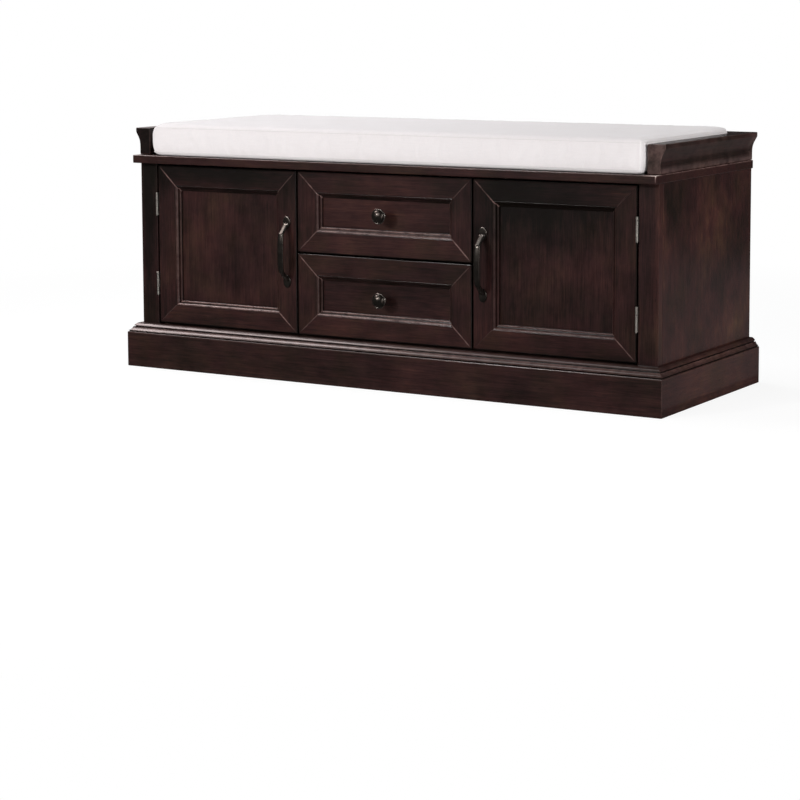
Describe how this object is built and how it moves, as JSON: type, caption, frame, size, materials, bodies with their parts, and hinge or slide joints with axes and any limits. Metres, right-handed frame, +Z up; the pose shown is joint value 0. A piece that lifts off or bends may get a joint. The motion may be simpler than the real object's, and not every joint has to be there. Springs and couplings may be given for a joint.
{
  "type": "storage bench",
  "caption": "Low storage bench: hinged doors either side of stacked drawers, moulded plinth, three-sided gallery and a loose seat cushion.",
  "frame": {"origin": "on the floor under the middle of the bounding box", "axes": "+X along the bench to the right seen from the front, +Y to the back, +Z up; the doors and drawers face -Y"},
  "size_m": [1.08, 0.406, 0.45],
  "materials": {
    "stained_wood": "semi-gloss dark espresso stain",
    "inner_wood": "flat dark stain inside and behind",
    "dark_bronze": "dark bronze plating",
    "satin_nickel": "satin nickel",
    "cushion_cloth": "off-white woven cotton over foam"
  },
  "bodies": {
    "cabinet": {"back_panel": "inner_wood", "base_rail_back": "inner_wood", "bottom_board": "inner_wood", "divider_left": "inner_wood", "divider_right": "inner_wood", "door_left_hinge_lower_barrel": "satin_nickel", "door_left_hinge_upper_barrel": "satin_nickel", "door_right_hinge_lower_barrel": "satin_nickel", "door_right_hinge_upper_barrel": "satin_nickel", "plinth_front": "stained_wood", "plinth_left": "stained_wood", "plinth_right": "stained_wood", "rail_back": "stained_wood", "rail_left": "stained_wood", "rail_right": "stained_wood", "runner_left": "inner_wood", "runner_right": "inner_wood", "side_panel_left": "stained_wood", "side_panel_right": "stained_wood", "stile_left": "stained_wood", "stile_right": "stained_wood", "top_board": "stained_wood"},
    "door_left": {"door_left_bottom": "stained_wood", "door_left_handle": "dark_bronze", "door_left_hinge_lower_leaf": "satin_nickel", "door_left_hinge_upper_leaf": "satin_nickel", "door_left_inner": "stained_wood", "door_left_outer": "stained_wood", "door_left_panel": "stained_wood", "door_left_top": "stained_wood"},
    "door_right": {"door_right_bottom": "stained_wood", "door_right_handle": "dark_bronze", "door_right_hinge_lower_leaf": "satin_nickel", "door_right_hinge_upper_leaf": "satin_nickel", "door_right_inner": "stained_wood", "door_right_outer": "stained_wood", "door_right_panel": "stained_wood", "door_right_top": "stained_wood"},
    "drawer_upper": {"drawer_upper_back": "inner_wood", "drawer_upper_bottom": "stained_wood", "drawer_upper_floor": "inner_wood", "drawer_upper_knob": "dark_bronze", "drawer_upper_left": "stained_wood", "drawer_upper_panel": "stained_wood", "drawer_upper_right": "stained_wood", "drawer_upper_side_left": "inner_wood", "drawer_upper_side_right": "inner_wood", "drawer_upper_top": "stained_wood"},
    "drawer_lower": {"drawer_lower_back": "inner_wood", "drawer_lower_bottom": "stained_wood", "drawer_lower_floor": "inner_wood", "drawer_lower_knob": "dark_bronze", "drawer_lower_left": "stained_wood", "drawer_lower_panel": "stained_wood", "drawer_lower_right": "stained_wood", "drawer_lower_side_left": "inner_wood", "drawer_lower_side_right": "inner_wood", "drawer_lower_top": "stained_wood"},
    "cushion": {"cushion": "cushion_cloth"}
  },
  "joints": [
    {"name": "door_left_hinge", "type": "hinge", "parent": "cabinet", "child": "door_left", "pos_m": [-0.484, -0.181, 0.2278], "axis": [0, 0, -1], "range_deg": [0, 110]},
    {"name": "door_right_hinge", "type": "hinge", "parent": "cabinet", "child": "door_right", "pos_m": [0.484, -0.181, 0.2278], "axis": [0, 0, 1], "range_deg": [0, 110]},
    {"name": "drawer_upper_slide", "type": "slide", "parent": "cabinet", "child": "drawer_upper", "axis": [0, -1, 0], "range_m": [0, 0.25]},
    {"name": "drawer_lower_slide", "type": "slide", "parent": "cabinet", "child": "drawer_lower", "axis": [0, -1, 0], "range_m": [0, 0.25]},
    {"name": "cushion_lift", "type": "slide", "parent": "cabinet", "child": "cushion", "axis": [0, 0, 1], "range_m": [0, 0.2]}
  ]
}
